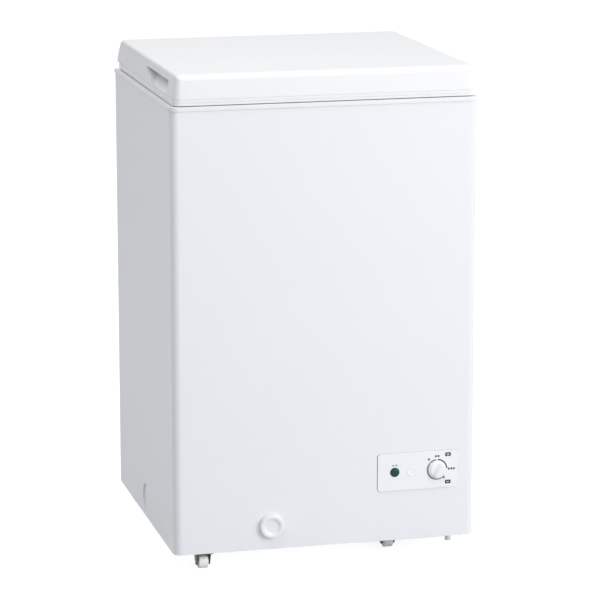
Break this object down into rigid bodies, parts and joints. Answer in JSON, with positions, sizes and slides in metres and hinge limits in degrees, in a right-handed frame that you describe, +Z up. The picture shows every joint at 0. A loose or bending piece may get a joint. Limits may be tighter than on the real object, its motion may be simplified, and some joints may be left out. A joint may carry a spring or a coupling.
{
  "type": "chest freezer",
  "caption": "Upright-proportioned chest freezer with a rear-hinged lid, side grips, front control panel, drain, casters and an open compressor bay behind a grille.",
  "frame": {"origin": "on the floor, below the middle of the whole object's bounding box", "axes": "+Z up, +X to the right as seen from the front, -Y towards the front"},
  "size_m": [0.528, 0.511, 0.842],
  "materials": {
    "white_enamel": "glossy white baked enamel on steel",
    "back_enamel": "pale grey painted steel",
    "galvanised": "galvanised steel",
    "hardware_steel": "zinc plated steel",
    "dark_steel": "dark painted steel",
    "liner_sheet": "embossed aluminium",
    "coil_aluminium": "drawn aluminium tube",
    "white_plastic": "satin white moulding",
    "lid_plastic": "satin white moulding",
    "panel_plastic": "fine-grained white moulding",
    "foam": "rigid polyurethane foam",
    "compressor_black": "black painted steel",
    "copper": "drawn copper",
    "black_plastic": "black moulding",
    "seal_rubber": "soft white vinyl",
    "black_rubber": "black rubber",
    "wheel_nylon": "translucent pale grey nylon",
    "green_lens": "dark green lens",
    "basket_wire": "white plastic-coated wire"
  },
  "bodies": {
    "cabinet": {"outer_wrapper": "white_enamel", "rear_panel": "back_enamel", "base_pan": "galvanised", "inner_liner": "liner_sheet", "bay_shield": "galvanised", "top_collar": "white_plastic", "evaporator_coil": "coil_aluminium", "condenser_coil": "dark_steel", "foam_insulation": "foam", "hinge_bracket_left": "hardware_steel", "hinge_pin_left": "hardware_steel", "hinge_spring_left": "dark_steel", "hinge_bracket_right": "hardware_steel", "hinge_pin_right": "hardware_steel", "hinge_spring_right": "dark_steel", "compressor_base": "galvanised", "compressor": "compressor_black", "compressor_grommets": "black_rubber", "compressor_studs": "hardware_steel", "start_relay_cover": "black_plastic", "filter_drier": "copper", "refrigerant_pipes": "copper", "compressor_grille": "back_enamel", "cable_gland": "black_plastic", "control_bezel": "panel_plastic", "thermostat_body": "black_plastic", "power_lamp_lens": "green_lens", "lamp_holder": "black_plastic", "blank_plug": "panel_plastic", "drain_fitting": "white_plastic", "drain_tube": "white_plastic", "caster_forks": "dark_steel", "caster_axles": "hardware_steel", "support_feet": "black_rubber", "hinge_bracket_screws": "hardware_steel", "grille_screws": "hardware_steel"},
    "lid": {"lid_shell": "lid_plastic", "lid_foam": "foam", "lid_frame": "white_plastic", "lid_inner_panel": "white_plastic", "lid_gasket": "seal_rubber", "hinge_leaf_left": "hardware_steel", "hinge_leaf_right": "hardware_steel", "hinge_leaf_screws": "hardware_steel"},
    "knob": {"thermostat_knob": "panel_plastic", "thermostat_spindle": "hardware_steel"},
    "drain_cap": {"drain_cap": "white_plastic"},
    "inner_drain_plug": {"inner_drain_plug": "white_plastic"},
    "basket": {"storage_basket": "basket_wire"},
    "wheel_front_left": {"caster_wheel_front_left": "wheel_nylon"},
    "wheel_rear_left": {"caster_wheel_rear_left": "wheel_nylon"},
    "wheel_front_right": {"caster_wheel_front_right": "wheel_nylon"},
    "wheel_rear_right": {"caster_wheel_rear_right": "wheel_nylon"}
  },
  "joints": [
    {"name": "lid_hinge", "type": "hinge", "parent": "cabinet", "child": "lid", "pos_m": [0, 0.24745, 0.79], "axis": [-1, 0, 0], "range_deg": [0, 78]},
    {"name": "thermostat_turn", "type": "hinge", "parent": "cabinet", "child": "knob", "pos_m": [0.1955, -0.24755, 0.15], "axis": [0, -1, 0], "range_deg": [-61, 259]},
    {"name": "drain_cap_pull", "type": "slide", "parent": "cabinet", "child": "drain_cap", "axis": [0, -1, 0], "range_m": [0, 0.04]},
    {"name": "inner_plug_lift", "type": "slide", "parent": "cabinet", "child": "inner_drain_plug", "axis": [0, 0, 1], "range_m": [0, 0.04]},
    {"name": "basket_slide", "type": "slide", "parent": "cabinet", "child": "basket", "axis": [1, 0, 0], "range_m": [0, 0.216]},
    {"name": "roll_front_left", "type": "hinge", "parent": "cabinet", "child": "wheel_front_left", "pos_m": [-0.2105, -0.22255, 0.012], "axis": [1, 0, 0], "continuous": true},
    {"name": "roll_rear_left", "type": "hinge", "parent": "cabinet", "child": "wheel_rear_left", "pos_m": [-0.2105, 0.21745, 0.012], "axis": [1, 0, 0], "continuous": true},
    {"name": "roll_front_right", "type": "hinge", "parent": "cabinet", "child": "wheel_front_right", "pos_m": [0.1255, -0.18155, 0.012], "axis": [1, 0, 0], "continuous": true},
    {"name": "roll_rear_right", "type": "hinge", "parent": "cabinet", "child": "wheel_rear_right", "pos_m": [0.1255, 0.17645, 0.012], "axis": [1, 0, 0], "continuous": true}
  ]
}
